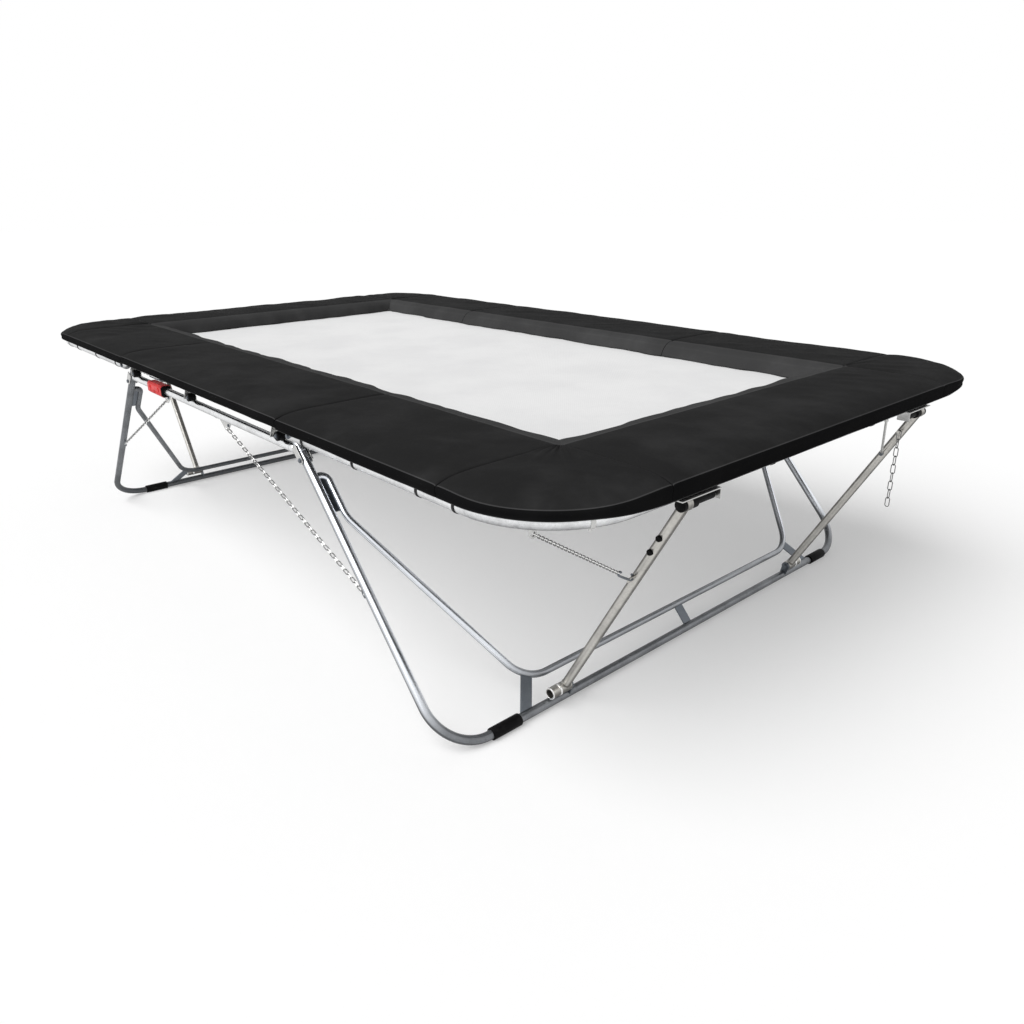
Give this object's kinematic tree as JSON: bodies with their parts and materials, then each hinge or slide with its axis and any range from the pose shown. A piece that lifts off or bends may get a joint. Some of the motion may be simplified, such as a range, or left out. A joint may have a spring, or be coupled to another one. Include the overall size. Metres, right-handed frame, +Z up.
{
  "type": "gymnastics trampoline",
  "caption": "Folding gymnastics trampoline: sprung woven bed in a padded tube frame with hinged ends, on chained folding leg frames with end struts.",
  "frame": {"origin": "on the floor under the middle of the bed", "axes": "+X along the long side, +Y across the bed, +Z up"},
  "size_m": [4.62, 2.84, 1.0711],
  "materials": {
    "galvanised_tube": "bright galvanised, smooth",
    "leg_steel": "galvanised, slightly dull",
    "strut_steel": "dull galvanised with fine drawn lines",
    "zinc": "zinc plated",
    "rubber": "matte black",
    "red_paint": "satin red",
    "pad_vinyl": "coated cloth, soft sheen",
    "woven_bed": "fine woven webbing"
  },
  "bodies": {
    "centre_section": {"centre_tube_near": "galvanised_tube", "centre_tube_far": "galvanised_tube", "rail_near": "galvanised_tube", "rail_far": "galvanised_tube", "hanger_roller_near_left": "rubber", "hanger_roller_near_middle": "rubber", "hanger_roller_near_right": "rubber", "hanger_roller_far_left": "rubber", "hanger_roller_far_middle": "rubber", "hanger_roller_far_right": "rubber", "rail_clamp": "red_paint", "bed_centre": "woven_bed", "pad_centre_near": "pad_vinyl", "pad_centre_far": "pad_vinyl", "leg_chain_near_left": "zinc", "leg_chain_near_right": "zinc", "leg_chain_far_left": "zinc", "leg_chain_far_right": "zinc"},
    "end_frame_right": {"end_tube_right": "galvanised_tube", "strut_bracket_near_right": "galvanised_tube", "strut_bracket_far_right": "galvanised_tube", "bed_right": "woven_bed", "pad_side_near_right": "pad_vinyl", "pad_side_far_right": "pad_vinyl", "pad_corner_near_right": "pad_vinyl", "pad_corner_far_right": "pad_vinyl", "pad_end_right": "pad_vinyl", "strut_chain_near_right": "zinc", "strut_chain_far_right": "zinc"},
    "end_frame_left": {"end_tube_left": "galvanised_tube", "strut_bracket_near_left": "galvanised_tube", "strut_bracket_far_left": "galvanised_tube", "bed_left": "woven_bed", "pad_side_near_left": "pad_vinyl", "pad_side_far_left": "pad_vinyl", "pad_corner_near_left": "pad_vinyl", "pad_corner_far_left": "pad_vinyl", "pad_end_left": "pad_vinyl", "strut_chain_near_left": "zinc", "strut_chain_far_left": "zinc"},
    "leg_frame_right": {"leg_outer_right": "leg_steel", "leg_inner_right": "leg_steel", "foot_sleeve_near_right": "rubber", "foot_sleeve_far_right": "rubber"},
    "leg_frame_left": {"leg_outer_left": "leg_steel", "leg_inner_left": "leg_steel", "foot_sleeve_near_left": "rubber", "foot_sleeve_far_left": "rubber"},
    "strut_near_right": {"strut_near_right": "strut_steel", "strut_roller_near_right": "rubber"},
    "strut_far_right": {"strut_far_right": "strut_steel", "strut_roller_far_right": "rubber"},
    "strut_near_left": {"strut_near_left": "strut_steel", "strut_roller_near_left": "rubber"},
    "strut_far_left": {"strut_far_left": "strut_steel", "strut_roller_far_left": "rubber"},
    "hanging_chain": {"hanging_chain": "zinc"}
  },
  "joints": [
    {"name": "end_fold_right", "type": "hinge", "parent": "centre_section", "child": "end_frame_right", "pos_m": [0.93, 0, 0.995], "axis": [0, -1, 0], "range_deg": [0, 105], "deforming": ["pad_side_near_right", "pad_side_far_right", "strut_chain_near_right", "strut_chain_far_right"]},
    {"name": "end_fold_left", "type": "hinge", "parent": "centre_section", "child": "end_frame_left", "pos_m": [-0.93, 0, 0.995], "axis": [0, 1, 0], "range_deg": [0, 105], "deforming": ["pad_side_near_left", "pad_side_far_left", "strut_chain_near_left", "strut_chain_far_left"]},
    {"name": "leg_fold_right", "type": "hinge", "parent": "centre_section", "child": "leg_frame_right", "pos_m": [0.957, 0, 0.902], "axis": [0, 1, 0], "range_deg": [0, 118], "deforming": ["leg_chain_near_right", "leg_chain_far_right"]},
    {"name": "leg_fold_left", "type": "hinge", "parent": "centre_section", "child": "leg_frame_left", "pos_m": [-0.957, 0, 0.902], "axis": [0, -1, 0], "range_deg": [0, 106], "deforming": ["leg_chain_near_left", "leg_chain_far_left"]},
    {"name": "strut_fold_near_right", "type": "hinge", "parent": "leg_frame_right", "child": "strut_near_right", "pos_m": [1.777, -0.8, 0.07], "axis": [0, 1, 0], "range_deg": [0, 58]},
    {"name": "strut_fold_far_right", "type": "hinge", "parent": "leg_frame_right", "child": "strut_far_right", "pos_m": [1.777, 0.8, 0.07], "axis": [0, 1, 0], "range_deg": [0, 58]},
    {"name": "strut_fold_near_left", "type": "hinge", "parent": "leg_frame_left", "child": "strut_near_left", "pos_m": [-1.777, -0.8, 0.07], "axis": [0, -1, 0], "range_deg": [0, 58]},
    {"name": "strut_fold_far_left", "type": "hinge", "parent": "leg_frame_left", "child": "strut_far_left", "pos_m": [-1.777, 0.8, 0.07], "axis": [0, -1, 0], "range_deg": [0, 58]},
    {"name": "chain_swing", "type": "hinge", "parent": "strut_far_right", "child": "hanging_chain", "pos_m": [2.217, 0.762, 0.857], "axis": [0, 1, 0], "range_deg": [-60, 60]}
  ]
}
